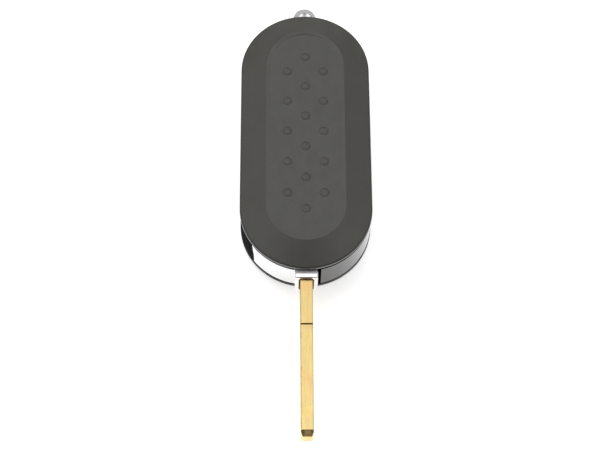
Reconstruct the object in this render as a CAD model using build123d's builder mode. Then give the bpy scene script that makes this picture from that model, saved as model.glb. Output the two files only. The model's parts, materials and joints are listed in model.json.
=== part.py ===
"""Flip key remote for a car, blade swung out, resting on its button face.

The frame: +Y runs towards the key ring, -Y towards the blade tip, +Z up through the rear cover.
The origin is the middle of the flat face that it rests on. Millimetres.
"""

import os
from math import hypot, sqrt

from build123d import *

os.makedirs("parts", exist_ok=True)

# Outline of the body seen from above: a stadium, two straight sides with round ends
body_length = 76.6
body_width = 35.0

# Heights of the stacked case, from the resting face up
front_crown = 1.4
front_rim = 1.4
seam = 0.05
band_height = 9.6
groove_height = 0.4
skirt_height = 1.2
rear_crown = 3.0

# Rear cover
border_run = 7.2
panel_recess = 0.4
panel_draft = 62.0
panel_round = 0.5
shoulder_round = 0.6
skirt_round = 0.3
skirt_wall = 1.3
rear_shell = 1.3
peg_radius = 1.2
peg_reach = 0.6
peg_inset = 8.5
peg_y = 20.0

# Thumb grip dimples in the panel
dimple_pitch = 9.16
dimple_column = 4.87
dimple_radius = 1.25
dimple_depth = 0.45
dimple_rows = 6
dimple_shift = 0.65
dimple_edge = 0.1

# Front cover
front_run = 5.0
front_shell = 1.25
rim_wall = 1.4
face_round = 0.3
field_margin = 2.0
field_setback = 21.0
field_stop = 19.2
field_depth = 0.5
field_round = 5.0
dish_radius = 6.0
dish_depth = 0.25
dish_inset = 11.9

# Gloss core between the covers
band_inset = 0.1
core_wall = 1.3
inner_wall = 1.0
neck_inset = 0.8
spigot_gap = 0.15
spigot_height = 0.3
pin_boss_radius = 3.0
pin_boss_height = 1.9

# Blade hub and its pivot, towards the left side
pivot_x = -body_width / 5
pivot_setback = 10.8
hub_edge = 0.11
hub_trim = 0.85
hub_gap = 0.25
collar_width = 6.0
collar_reach = 1.7
collar_drop = 0.15
hub_round = 0.25
seat_gap = 0.02
mouth_width = 4.0
mouth_margin = 0.35
mouth_depth = 4.0
mouth_round = 0.8
room = 0.4
pin_radius = 1.5
running_gap = 0.05

# Blade
blade_thickness = 3.3
blade_width = 6.6
blade_reach = 42.05
blade_root = 10.5
tip_run = 1.45
tip_drop = 1.35
nose_run = 0.25
nose_drop = 0.8
corner_run = 1.3
corner_cut = 0.6
edge_bevel = 0.25
track_width = 2.2
track_depth = 0.5
track_margin = 3.6
notch_distance = 12.3
notch_width = 0.45
notch_depth = 0.4
blade_pin_radius = 0.8
blade_pin_setback = 4.5

# Release button under the hub
button_radius = 4.6
button_recess = 0.45
button_gap = 0.2
button_travel = 1.5
flange_extra = 0.6
flange_height = 0.7
cup_radius = 3.6
cup_wall = 0.7
cup_height = 2.9
bore_relief = 0.3
hub_floor = 1.0

# Coil springs
flip_coil_radius = 3.85
flip_wire = 0.7
flip_turns = 3.5
push_coil_radius = 2.3
push_wire = 0.45
push_turns = 4.5
coil_sleeve = 1.0

# Keys, their rubber pads and the switches under them
key_names = ("lock", "unlock", "boot")
key_space = 3.0
key_border = 2.3
key_screw_gap = 0.3
key_round = 2.2
key_gap = 0.25
key_proud = 0.25
key_lip = 0.7
key_lip_height = 0.8
key_body_margin = 1.0
key_clear = 0.1
pad_plate = 0.5
pad_nub = 0.5
pad_nub_radius = 1.1
key_stack = 2.5
plunger_height = 0.35
plunger_radius = 0.9
switch_size = 3.6
switch_height = 1.1

# Circuit board
board_thickness = 1.0
board_gap = 0.9
board_channel_gap = 0.3
board_setback = 20.0
boss_radius = 1.8
boss_wall_gap = 0.8
far_screw_inset = 9.0
far_screw_gap = 2.3
near_screw_y = 4.5
case_screw_radius = 0.7
case_screw_clearance = 0.1
case_screw_head_radius = 1.6
case_screw_head_height = 0.9
case_screw_bite = 3.0
driver_slot_width = 0.5
driver_slot_depth = 0.4

# Battery and its tray
battery_radius = body_width / 3.5
battery_height = 3.2
battery_side = 1.7
battery_end = 2.5
battery_gap = 0.1
battery_lift = 2.3
lip_width = 1.0
lip_height = 0.4
ring_wall = 1.0
ring_drop = 0.1
plate_thickness = 1.0
tray_wall = 1.2
tray_gap = 0.88
tray_clear = 0.1
tray_seam = 0.25
tray_setback = 18.3
mouth_half = 4.5
tab_width = 3.0
tab_y = 7.5
tab_gap = 0.55

# Quarter turn screw that holds the tray
lock_head_radius = 1.6
lock_head_height = 0.9
lock_shank_radius = 1.1
lock_boss_radius = 2.4
lock_boss_length = 1.9
cam_length = 3.4
cam_width = 1.2
cam_height = 0.9
lock_drop = 2.3

# Battery contacts
contact_thickness = 0.25
contact_width = 1.6
contact_offset = 1.7
contact_wall_gap = 1.3
contact_foot = 1.8

# Key ring lug
lug_radius = 3.2
lug_hole_radius = 1.7
lug_reach = 5.5
lug_thickness = 3.4
lug_root = 3.0
lug_head_width = 9.0
lug_head_length = 2.4
lug_round = 0.45
lug_block_width = 12.0
lug_block_wall = 0.9
lug_gap = 0.05

# Levels that follow from the heights
rim_top = front_crown + front_rim
band_low = rim_top + seam
band_top = band_low + band_height
skirt_low = band_top + groove_height
skirt_top = skirt_low + skirt_height
top = skirt_top + rear_crown
panel_top = top - panel_recess
deck_top = skirt_low + spigot_height
hub_low = band_low + hub_gap
hub_top = band_top - hub_gap
blade_middle = (hub_low + hub_top) / 2
blade_low = blade_middle - blade_width / 2
blade_high = blade_middle + blade_width / 2
key_low = key_proud
pad_low = key_low + key_stack
pad_mid = pad_low + pad_plate
plunger_low = pad_mid + pad_nub
switch_low = plunger_low + plunger_height
board_low = switch_low + switch_height
board_top = board_low + board_thickness
battery_low = board_top + battery_lift
battery_high = battery_low + battery_height
tray_floor = battery_low - lip_height
ring_top = battery_high - ring_drop
tray_low = band_low + tray_clear
tray_high = band_top - tray_clear
lock_z = band_top - lock_drop

# Places that follow from the outline
end_radius = body_width / 2
end_middle_y = body_length / 2 - end_radius
near_y = -body_length / 2
pivot_y = near_y + pivot_setback
hub_radius = end_radius - band_inset - hub_edge - hypot(pivot_x, pivot_y + end_middle_y)
hub_left_x = pivot_x - hub_radius + hub_trim
collar_end_y = near_y - collar_reach
blade_tip_y = collar_end_y - blade_reach
folded_x = 2 * pivot_x
folded_tip_y = 2 * pivot_y - blade_tip_y
slot_inner_x = folded_x + (blade_thickness + 3 * room) / 2
slot_end_y = folded_tip_y + 2 * room
hub_sweep = collar_width / 2 - pivot_x + 3 * room
collar_sweep = hypot(-collar_width / 2 - pivot_x, collar_end_y - pivot_y) + room
collar_inner_x = folded_x + collar_width / 2 + room
wall_x = slot_inner_x + inner_wall
tray_x = collar_width / 2 + tray_gap
end_wall_y = near_y + tray_setback
battery_x = end_radius - battery_side - battery_radius
battery_y = end_wall_y + battery_end + battery_radius
tray_side_y = battery_y + battery_radius + battery_end
lock_y = battery_y + tab_y
lock_wall = wall_x + lock_boss_length
cam_x = lock_wall + running_gap
tab_x = cam_x + cam_height + tab_gap
eye_base = -near_y - lug_root - lug_head_length - 2 * lug_block_wall - core_wall
far_screw_x = end_radius - far_screw_inset
far_screw_y = eye_base - far_screw_gap
near_screw_x = wall_x + boss_radius + boss_wall_gap
case_screws = [(-far_screw_x, far_screw_y), (far_screw_x, far_screw_y)]
case_screws.append((near_screw_x, battery_y - near_screw_y))
key_width = -2 * (near_screw_x + boss_radius + key_screw_gap + key_lip)
field_width = key_width + 2 * field_margin
pegs = [(x, y) for x in (peg_inset - end_radius, end_radius - peg_inset) for y in (-peg_y, peg_y)]
field_length = body_length - field_setback - field_stop
field_middle_y = (field_setback - field_stop) / 2
key_length = (field_length - 2 * key_border - 2 * key_space) / 3
key_rows = [field_middle_y + (key_length + key_space) * step for step in (1, 0, -1)]
dish_y = -near_y - dish_inset


def outline(inset=0.0, mode=Mode.ADD):
    """The body's stadium, drawn in by inset all round."""
    SlotOverall(body_length - 2 * inset, body_width - 2 * inset, rotation=90, mode=mode)


def block(x0, x1, y0, y1, mode=Mode.ADD):
    """A rectangle given by its sides."""
    with Locations(((x0 + x1) / 2, (y0 + y1) / 2)):
        Rectangle(x1 - x0, y1 - y0, mode=mode)


def disc(x, y, radius, mode=Mode.ADD):
    """A circle at a point."""
    with Locations((x, y)):
        Circle(radius, mode=mode)


def swing_area(grow=0.0):
    """Plan of the room that the hub, its collar and the folded blade need, grown by a wall."""
    with BuildSketch() as area:
        disc(pivot_x, pivot_y, collar_sweep + grow)
        block(-body_width, collar_inner_x + grow, -body_length, body_length, Mode.INTERSECT)
        disc(pivot_x, pivot_y, hub_sweep + grow)
        block(-body_width, slot_inner_x + grow, pivot_y, slot_end_y + grow)
        block(-body_width, tray_x, -body_length, pivot_y)
    return area.sketch


def cavity_area():
    """Plan of the room for the electronics inside the core."""
    with BuildSketch() as area:
        outline(band_inset + core_wall)
        add(swing_area(inner_wall), mode=Mode.SUBTRACT)
    return area.sketch


def lug_area(grow=0.0):
    """Plan of the key ring lug without its hole."""
    eye_y = -near_y + lug_reach - lug_radius
    head_y = end_middle_y + end_radius - lug_block_wall - core_wall - lug_root - lug_head_length
    head_side = lug_head_width / 2 + grow
    with BuildSketch() as area:
        disc(0, eye_y, lug_radius + grow)
        block(-lug_radius - grow, lug_radius + grow, head_y - grow, eye_y)
        block(-head_side, head_side, head_y - grow, head_y + lug_head_length + grow)
    return area.sketch


def coil(radius, wire, height, turns, low, x, y):
    """A round wire coil standing on the level low."""
    climb = height - wire
    with BuildPart() as spring:
        with BuildLine() as path:
            Helix(climb / turns, climb, radius, center=(x, y, low + wire / 2))
        with BuildSketch(Plane(path.line @ 0, z_dir=path.line % 0)):
            Circle(wire / 2)
        sweep(is_frenet=True)
    return spring


def write(piece, name):
    """Label a finished piece and write it."""
    piece.part.label = name
    export_step(piece.part, f"parts/{name}.step")


# Rear cover: a shell with a broad sloping border round a sunk panel
slope = rear_crown / border_run
slope_drop = rear_shell * sqrt(1 + slope * slope)
inner_shoulder = skirt_top + slope * skirt_wall - slope_drop
roof = panel_top - rear_shell
roof_inset = (roof - skirt_top + slope_drop) / slope
with BuildPart() as rear_cover:
    with BuildSketch(Plane.XY.offset(skirt_low)):
        outline()
    extrude(amount=skirt_height)
    with BuildSketch(Plane.XY.offset(skirt_top)):
        outline()
    with BuildSketch(Plane.XY.offset(top)):
        outline(border_run)
    loft(ruled=True)
    skirt_edges = rear_cover.edges().filter_by_position(Axis.Z, skirt_top - seam, skirt_top + seam)
    fillet(skirt_edges, shoulder_round)
    fillet(rear_cover.edges().group_by(Axis.Z)[0], skirt_round)
    with BuildSketch(Plane.XY.offset(skirt_low)):
        outline(skirt_wall)
    extrude(amount=inner_shoulder - skirt_low, mode=Mode.SUBTRACT)
    with BuildSketch(Plane.XY.offset(inner_shoulder)):
        outline(skirt_wall)
    with BuildSketch(Plane.XY.offset(roof)):
        outline(roof_inset)
    loft(ruled=True, mode=Mode.SUBTRACT)
    with BuildSketch(Plane.XY.offset(top)):
        outline(border_run - seam)
    extrude(amount=-panel_recess, taper=panel_draft, mode=Mode.SUBTRACT)
    panel_floor = rear_cover.faces().filter_by(Plane.XY).sort_by(Axis.Z)[-1]
    fillet(panel_floor.edges(), panel_round)
    fillet(rear_cover.edges().filter_by_position(Axis.Z, top - seam, top + seam), panel_round)
    ball = (dimple_radius**2 + dimple_depth**2) / (2 * dimple_depth)
    ball_z = panel_top + ball - dimple_depth
    middle_rows = [dimple_shift + dimple_pitch * (row - (dimple_rows - 1) / 2) for row in range(dimple_rows)]
    side_rows = [y + dimple_pitch / 2 for y in middle_rows[:-1]]
    dimples = [(0, y, ball_z) for y in middle_rows]
    dimples += [(x, y, ball_z) for x in (-dimple_column, dimple_column) for y in side_rows]
    with Locations(*dimples):
        Sphere(ball, mode=Mode.SUBTRACT)
    circles = rear_cover.edges().filter_by(GeomType.CIRCLE)
    fillet(circles.filter_by(lambda e: abs(e.radius - dimple_radius) < seam), dimple_edge)
    with BuildSketch(Plane.XY.offset(deck_top - peg_reach)):
        with Locations(*pegs):
            Circle(peg_radius)
    extrude(amount=roof - deck_top + peg_reach + seam)
write(rear_cover, "rear_cover")

# Front cover: the button face, with key windows and the hole of the release button
front_ledge = front_crown * (1 - rim_wall / front_run) + front_shell
with BuildPart() as front_cover:
    with BuildSketch(Plane.XY):
        outline(front_run)
    with BuildSketch(Plane.XY.offset(front_crown)):
        outline()
    loft(ruled=True)
    with BuildSketch(Plane.XY.offset(front_crown)):
        outline()
    extrude(amount=front_rim)
    crown_edges = front_cover.edges().filter_by_position(Axis.Z, front_crown - seam, front_crown + seam)
    fillet(crown_edges, shoulder_round)
    fillet(front_cover.edges().group_by(Axis.Z)[0], face_round)
    with BuildSketch(Plane.XY.offset(front_shell)):
        outline(front_run)
    with BuildSketch(Plane.XY.offset(front_ledge)):
        outline(rim_wall)
    loft(ruled=True, mode=Mode.SUBTRACT)
    with BuildSketch(Plane.XY.offset(front_ledge)):
        outline(rim_wall)
    extrude(amount=rim_top - front_ledge, mode=Mode.SUBTRACT)
    with BuildSketch(Plane.XY.offset(front_shell)):
        with Locations(*case_screws):
            Circle(boss_radius)
    extrude(amount=board_low - front_shell)
    with BuildSketch(Plane.XY.offset(front_ledge)):
        add(swing_area())
        outline(rim_wall / 2, Mode.INTERSECT)
    extrude(amount=rim_top - front_ledge)
    with BuildSketch(Plane.XY.offset(front_shell)):
        disc(pivot_x, pivot_y, button_radius + flange_extra + button_gap + inner_wall)
    extrude(amount=front_ledge - front_shell)
    with BuildSketch(Plane.XY.offset(board_low)):
        with Locations(*case_screws):
            Circle(case_screw_radius)
    extrude(amount=-case_screw_bite, mode=Mode.SUBTRACT)
    with BuildSketch(Plane.XY):
        with Locations((0, field_middle_y)):
            RectangleRounded(field_width, field_length, field_round)
    extrude(amount=field_depth, mode=Mode.SUBTRACT)
    with BuildSketch(Plane.XY):
        disc(0, dish_y, dish_radius)
    extrude(amount=dish_depth, mode=Mode.SUBTRACT)
    with BuildSketch(Plane.XY):
        with Locations(*[(0, y) for y in key_rows]):
            RectangleRounded(key_width + 2 * key_gap, key_length + 2 * key_gap, key_round + key_gap)
        disc(pivot_x, pivot_y, button_radius + button_gap)
    extrude(amount=rim_top, mode=Mode.SUBTRACT)
    with BuildSketch(Plane.XY.offset(front_shell)):
        disc(pivot_x, pivot_y, button_radius + flange_extra + button_gap)
    extrude(amount=rim_top, mode=Mode.SUBTRACT)
write(front_cover, "front_cover")

# Gloss core: band, blade slot, hub pocket and the deck under the rear cover
lug_low = blade_middle - lug_thickness / 2
spigot_inset = skirt_wall + spigot_gap
with BuildPart() as core_frame:
    with BuildSketch(Plane.XY.offset(band_low)):
        outline(band_inset)
        add(cavity_area(), mode=Mode.SUBTRACT)
        add(swing_area(), mode=Mode.SUBTRACT)
        block(tray_x - seam, body_width, -body_length, tray_side_y + tray_seam, Mode.SUBTRACT)
    extrude(amount=band_height)
    with BuildSketch(Plane.XY.offset(band_top)):
        outline(neck_inset)
    extrude(amount=groove_height)
    with BuildSketch(Plane.XY.offset(skirt_low)):
        outline(spigot_inset)
    extrude(amount=spigot_height)
    with BuildSketch(Plane.XY.offset(band_top)):
        disc(pivot_x, pivot_y, pin_boss_radius)
    extrude(amount=pin_boss_height)
    with BuildSketch(Plane.XY.offset(band_low)):
        with Locations(*case_screws):
            Circle(boss_radius + 2 * running_gap)
    extrude(amount=board_top - band_low, mode=Mode.SUBTRACT)
    with BuildSketch(Plane.XY.offset(board_top)):
        with Locations(*case_screws):
            Circle(boss_radius)
    extrude(amount=band_top - board_top)
    with BuildSketch(Plane.XY.offset(lug_low - lug_block_wall)):
        outline(band_inset + core_wall / 2)
        block(-lug_block_width / 2, lug_block_width / 2, eye_base, body_length, Mode.INTERSECT)
    extrude(amount=band_top - lug_low + lug_block_wall)
    with BuildSketch(Plane.XY.offset(lug_low - lug_gap)):
        add(lug_area(lug_gap))
    extrude(amount=lug_thickness + 2 * lug_gap, mode=Mode.SUBTRACT)
    with BuildSketch(Plane.YZ.offset(wall_x)):
        disc(lock_y, lock_z, lock_boss_radius)
    extrude(amount=lock_boss_length)
    with BuildSketch(Plane.YZ.offset(slot_inner_x)):
        disc(lock_y, lock_z, lock_head_radius + running_gap)
    extrude(amount=lock_head_height + 2 * running_gap, mode=Mode.SUBTRACT)
    with BuildSketch(Plane.YZ.offset(slot_inner_x)):
        disc(lock_y, lock_z, lock_shank_radius + running_gap)
    extrude(amount=lock_wall - slot_inner_x, mode=Mode.SUBTRACT)
    with BuildSketch(Plane.XY.offset(deck_top)):
        with Locations(*pegs):
            Circle(peg_radius + running_gap)
    extrude(amount=-peg_reach - running_gap, mode=Mode.SUBTRACT)
    with BuildSketch(Plane.XY.offset(deck_top)):
        with Locations(*case_screws):
            Circle(case_screw_radius + case_screw_clearance)
    extrude(amount=board_top - deck_top, mode=Mode.SUBTRACT)
    with BuildSketch(Plane.XY.offset(deck_top)):
        with Locations(*case_screws):
            Circle(case_screw_head_radius + case_screw_clearance)
    extrude(amount=-case_screw_head_height, mode=Mode.SUBTRACT)
    with BuildSketch(Plane.XY.offset(band_top)):
        disc(pivot_x, pivot_y, pin_radius)
    extrude(amount=pin_boss_height, mode=Mode.SUBTRACT)
write(core_frame, "core_frame")

# Screws that clamp the covers, board and core together
for number, (x, y) in enumerate(case_screws, 1):
    with BuildPart() as case_screw:
        with BuildSketch(Plane.XY.offset(board_low - case_screw_bite)):
            disc(x, y, case_screw_radius)
        extrude(amount=deck_top - board_low + case_screw_bite - case_screw_head_height)
        with BuildSketch(Plane.XY.offset(deck_top - case_screw_head_height)):
            disc(x, y, case_screw_head_radius)
        extrude(amount=case_screw_head_height)
        with BuildSketch(Plane.XY.offset(deck_top)):
            with Locations((x, y)):
                Rectangle(2 * case_screw_head_radius, driver_slot_width)
                Rectangle(driver_slot_width, 2 * case_screw_head_radius)
        extrude(amount=-driver_slot_depth, mode=Mode.SUBTRACT)
    write(case_screw, f"case_screw_{number}")

# Blade hub: a round boss that carries the collar, flush with the body's end when open
spring_floor = hub_top - (flip_wire * (flip_turns + 1)) - running_gap
cup_roof = spring_floor - hub_floor
pocket_inner = pin_radius + running_gap + coil_sleeve
pocket_outer = flip_coil_radius + flip_wire / 2 + 2 * running_gap
hub_height = hub_top - hub_low
mouth_height = blade_width + 2 * mouth_margin
blade_root_y = collar_end_y + blade_root
blade_pin_y = collar_end_y + mouth_depth + blade_pin_setback / 2
with BuildPart() as blade_hub:
    with BuildSketch(Plane.XY.offset(hub_low)):
        outline(band_inset)
        block(hub_left_x, collar_width / 2, -body_length, pivot_y, Mode.INTERSECT)
        disc(pivot_x, pivot_y, hub_radius)
        block(-collar_width / 2, collar_width / 2, collar_end_y, pivot_y)
    extrude(amount=hub_height)
    with BuildSketch(Plane.YZ):
        for level, drop in ((hub_top, -collar_drop), (hub_low, collar_drop)):
            Polygon((near_y, level), (collar_end_y, level), (collar_end_y, level + drop), align=None)
    extrude(amount=collar_width / 2, both=True, mode=Mode.SUBTRACT)
    caps = blade_hub.edges().filter_by(Axis.Z, reverse=True)
    fillet(caps, hub_round)
    with BuildSketch(Plane.XZ.offset(-collar_end_y)):
        with Locations((0, blade_middle)):
            RectangleRounded(mouth_width, mouth_height, mouth_round)
    extrude(amount=-mouth_depth, mode=Mode.SUBTRACT)
    with BuildSketch(Plane.XZ.offset(-collar_end_y)):
        with Locations((0, blade_middle)):
            Rectangle(blade_thickness + 2 * seat_gap, blade_width + 2 * seat_gap)
    extrude(amount=-blade_root - seat_gap, mode=Mode.SUBTRACT)
    with BuildSketch(Plane.XY.offset(hub_top)):
        disc(pivot_x, pivot_y, pocket_outer)
        disc(pivot_x, pivot_y, pocket_inner, Mode.SUBTRACT)
    extrude(amount=spring_floor - hub_top, mode=Mode.SUBTRACT)
    with BuildSketch(Plane.XY.offset(hub_top)):
        disc(pivot_x, pivot_y, pin_radius + running_gap)
    extrude(amount=-hub_height, mode=Mode.SUBTRACT)
    with BuildSketch(Plane.XY.offset(hub_low)):
        disc(pivot_x, pivot_y, cup_radius + bore_relief)
    extrude(amount=cup_roof - hub_low, mode=Mode.SUBTRACT)
    with BuildSketch(Plane.XY.offset(hub_low)):
        disc(pivot_x, pivot_y, button_radius + flange_extra + button_gap)
    extrude(amount=hub_floor, mode=Mode.SUBTRACT)
    with BuildSketch(Plane.XY.offset(hub_low)):
        disc(0, blade_pin_y, blade_pin_radius)
    extrude(amount=hub_height, mode=Mode.SUBTRACT)
write(blade_hub, "blade_hub")

# Blade: a flat bar on edge, with a milled track in each wide side and a nosed tip
half_width = blade_width / 2
half_thickness = blade_thickness / 2
with BuildPart() as blade:
    with BuildSketch(Plane.YZ):
        with Locations((0, blade_middle)):
            Polygon(
                (blade_root_y, half_width),
                (blade_tip_y + nose_run + tip_run, half_width),
                (blade_tip_y + nose_run, half_width - tip_drop),
                (blade_tip_y, half_width - tip_drop - nose_drop),
                (blade_tip_y, tip_drop + nose_drop - half_width),
                (blade_tip_y + nose_run, tip_drop - half_width),
                (blade_tip_y + nose_run + tip_run, -half_width),
                (blade_root_y, -half_width),
                align=None,
            )
    extrude(amount=half_thickness, both=True)
    chamfer(blade.edges().filter_by(Axis.Y), edge_bevel)
    with BuildSketch(Plane.XY.offset(blade_low)):
        Polygon(
            (half_thickness, blade_root_y),
            (half_thickness, blade_tip_y + corner_run),
            (half_thickness - corner_cut, blade_tip_y),
            (corner_cut - half_thickness, blade_tip_y),
            (-half_thickness, blade_tip_y + corner_run),
            (-half_thickness, blade_root_y),
            align=None,
        )
    extrude(amount=blade_width, mode=Mode.INTERSECT)
    track_far = blade_tip_y + track_margin
    track_near = collar_end_y - track_margin
    for side in (-1, 1):
        with BuildSketch(Plane.YZ.offset(side * half_thickness)):
            with Locations(((track_near + track_far) / 2, blade_middle)):
                SlotOverall(track_near - track_far, track_width)
        extrude(amount=-side * track_depth, mode=Mode.SUBTRACT)
    notch_y = collar_end_y - notch_distance
    with BuildSketch(Plane.YZ.offset(-half_thickness)):
        with Locations((notch_y, blade_low), (notch_y, blade_high)):
            Rectangle(notch_width, 2 * notch_depth)
    extrude(amount=blade_thickness, mode=Mode.SUBTRACT)
    with BuildSketch(Plane.XY.offset(blade_low)):
        disc(0, blade_pin_y, blade_pin_radius)
    extrude(amount=blade_width, mode=Mode.SUBTRACT)
write(blade, "blade")

# Cross pin that fixes the blade in the hub
with BuildPart() as blade_pin:
    with BuildSketch(Plane.XY.offset(hub_low + hub_round)):
        disc(0, blade_pin_y, blade_pin_radius)
    extrude(amount=hub_height - 2 * hub_round)
    chamfer(blade_pin.edges().filter_by(GeomType.CIRCLE), blade_pin_radius / 6)
write(blade_pin, "blade_pin")

# Release button: a sunk cap, a flange that keeps it in, and a cup round the pivot
flange_low = front_shell + running_gap * 3
flange_high = flange_low + flange_height
cup_top = flange_high + cup_height
with BuildPart() as release_button:
    with BuildSketch(Plane.XY.offset(button_recess)):
        disc(pivot_x, pivot_y, button_radius)
    extrude(amount=flange_low - button_recess)
    fillet(release_button.edges().group_by(Axis.Z)[0], button_recess / 2)
    with BuildSketch(Plane.XY.offset(flange_low)):
        disc(pivot_x, pivot_y, button_radius + flange_extra)
    extrude(amount=flange_height)
    with BuildSketch(Plane.XY.offset(flange_high)):
        disc(pivot_x, pivot_y, cup_radius)
    extrude(amount=cup_height)
    with BuildSketch(Plane.XY.offset(cup_top)):
        disc(pivot_x, pivot_y, cup_radius - cup_wall)
    extrude(amount=-cup_height, mode=Mode.SUBTRACT)
write(release_button, "release_button")

# Pivot pin, pressed into the core's boss and running in the hub
pin_low = flange_high + button_travel + bore_relief
pin_top = band_top + pin_boss_height
with BuildPart() as pivot_pin:
    with BuildSketch(Plane.XY.offset(pin_low)):
        disc(pivot_x, pivot_y, pin_radius)
    extrude(amount=pin_top - pin_low)
    chamfer(pivot_pin.edges().group_by(Axis.Z)[0], pin_radius / 5)
write(pivot_pin, "pivot_pin")

# Springs: one swings the blade out, one pushes the button back
flip_height = hub_top - spring_floor - 2 * running_gap
flip_low = spring_floor + running_gap
flip_spring = coil(flip_coil_radius, flip_wire, flip_height, flip_turns, flip_low, pivot_x, pivot_y)
write(flip_spring, "flip_spring")
push_low = flange_high + running_gap
push_spring = coil(
    push_coil_radius, push_wire, cup_roof - push_low - running_gap, push_turns, push_low, pivot_x, pivot_y
)
write(push_spring, "button_spring")

# Key caps, each on a rubber pad over its switch
lip_low = front_shell + key_clear
pad_width = key_width - 2 * key_body_margin
pad_length = key_length - 2 * key_body_margin
for name, y in zip(key_names, key_rows):
    with BuildPart() as key_cap:
        with BuildSketch(Plane.XY.offset(key_low)):
            with Locations((0, y)):
                RectangleRounded(key_width, key_length, key_round)
        extrude(amount=lip_low - key_low)
        fillet(key_cap.edges().group_by(Axis.Z)[0], key_low)
        with BuildSketch(Plane.XY.offset(lip_low)):
            with Locations((0, y)):
                RectangleRounded(key_width + 2 * key_lip, key_length + 2 * key_lip, key_round + key_lip)
        extrude(amount=key_lip_height)
        with BuildSketch(Plane.XY.offset(lip_low + key_lip_height)):
            with Locations((0, y)):
                RectangleRounded(pad_width, pad_length, key_body_margin)
        extrude(amount=pad_low - lip_low - key_lip_height)
    write(key_cap, f"key_{name}")

    with BuildPart() as key_pad:
        with BuildSketch(Plane.XY.offset(pad_low)):
            with Locations((0, y)):
                RectangleRounded(pad_width, pad_length, key_body_margin)
        extrude(amount=pad_plate)
        with BuildSketch(Plane.XY.offset(pad_mid)):
            disc(0, y, pad_nub_radius)
        extrude(amount=pad_nub)
    write(key_pad, f"key_pad_{name}")

    with BuildPart() as key_switch:
        with BuildSketch(Plane.XY.offset(plunger_low)):
            disc(0, y, plunger_radius)
        extrude(amount=plunger_height)
        with BuildSketch(Plane.XY.offset(switch_low)):
            with Locations((0, y)):
                RectangleRounded(switch_size, switch_size, switch_size / 10)
        extrude(amount=switch_height)
    write(key_switch, f"switch_{name}")

# Circuit board, cut back round the hub pocket, the tray and the lug's block
board_inset = band_inset + core_wall + board_gap
with BuildPart() as circuit_board:
    with BuildSketch(Plane.XY.offset(board_low)):
        outline(board_inset)
        add(swing_area(inner_wall + board_channel_gap), mode=Mode.SUBTRACT)
        block(-body_width, body_width, -body_length, near_y + board_setback, Mode.SUBTRACT)
        notch_low = eye_base - board_channel_gap
        notch_side = lug_block_width / 2 + board_channel_gap
        block(-notch_side, notch_side, notch_low, body_length, Mode.SUBTRACT)
        with Locations(*case_screws):
            Circle(case_screw_radius + case_screw_clearance, mode=Mode.SUBTRACT)
    extrude(amount=board_thickness)
write(circuit_board, "circuit_board")

# Parts soldered on the board's upper side: x, y, width, length, height
antenna_y = far_screw_y - 5.9
crystal_x = end_radius - board_inset - 5.6
chips = {
    "microcontroller": (6.0, -6.5, 6.4, 5.0, 1.0),
    "transponder_chip": (-5.5, 9.0, 4.4, 3.6, 1.0),
    "radio_crystal": (crystal_x, 10.4, 3.2, 5.0, 1.2),
    "antenna_coil": (1.4, antenna_y, 11.0, 3.4, 2.8),
}
for name, (x, y, width, length, height) in chips.items():
    with BuildPart() as chip:
        with BuildSketch(Plane.XY.offset(board_top)):
            with Locations((x, y)):
                Rectangle(width, length)
        extrude(amount=height)
        chamfer(chip.edges().group_by(Axis.Z)[-1], height / 8)
    write(chip, name)

capacitor_length = 1.6
capacitor_width = 0.8
capacitor_pitch = 2.4
capacitor_x = 2.2
capacitor_low_y = antenna_y - 14.3
for number in range(1, 5):
    with BuildPart() as capacitor:
        with BuildSketch(Plane.XY.offset(board_top)):
            with Locations((capacitor_x, capacitor_low_y + capacitor_pitch * (number - 1))):
                Rectangle(capacitor_length, capacitor_width)
        extrude(amount=capacitor_width)
    write(capacitor, f"capacitor_{number}")

# Battery tray: an outer wall that completes the band, and an open ring for the cell
with BuildPart() as battery_tray:
    with BuildSketch(Plane.XY.offset(tray_low)):
        outline(band_inset)
        block(tray_x, body_width, -body_length, tray_side_y, Mode.INTERSECT)
        with BuildSketch(mode=Mode.PRIVATE) as hollow:
            block(tray_x + tray_wall, body_width, -body_length, end_wall_y)
            block(tray_x - seam, body_width, end_wall_y, tray_side_y)
            outline(band_inset + tray_wall, Mode.INTERSECT)
        add(hollow.sketch, mode=Mode.SUBTRACT)
    extrude(amount=tray_high - tray_low)
    with BuildSketch(Plane.XY.offset(tray_floor)):
        outline(band_inset + tray_wall / 2)
        block(tray_x, body_width, -body_length, tray_side_y, Mode.INTERSECT)
        disc(battery_x, battery_y, battery_radius + battery_gap + ring_wall)
        block(tab_x, battery_x, battery_y + tab_y - tab_width / 2, battery_y + tab_y + tab_width / 2)
    extrude(amount=plate_thickness)
    with BuildSketch(Plane.XY.offset(tray_floor)):
        disc(battery_x, battery_y, battery_radius + battery_gap + ring_wall)
        block(tab_x, battery_x, battery_y + tab_y - tab_width / 2, battery_y + tab_y + tab_width / 2)
    extrude(amount=ring_top - tray_floor)
    with BuildSketch(Plane.XY.offset(battery_low)):
        disc(battery_x, battery_y, battery_radius + battery_gap)
    extrude(amount=battery_height, mode=Mode.SUBTRACT)
    with BuildSketch(Plane.XY.offset(tray_floor)):
        disc(battery_x, battery_y, battery_radius - lip_width)
        block(-body_width, battery_x - battery_radius / 2, battery_y - mouth_half, battery_y + mouth_half)
    extrude(amount=battery_height + lip_height, mode=Mode.SUBTRACT)
write(battery_tray, "battery_tray")

# Coin cell
with BuildPart() as coin_battery:
    with BuildSketch(Plane.XY.offset(battery_low)):
        disc(battery_x, battery_y, battery_radius)
    extrude(amount=battery_height)
    fillet(coin_battery.edges().filter_by(GeomType.CIRCLE), battery_height / 12)
write(coin_battery, "coin_battery")

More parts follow.
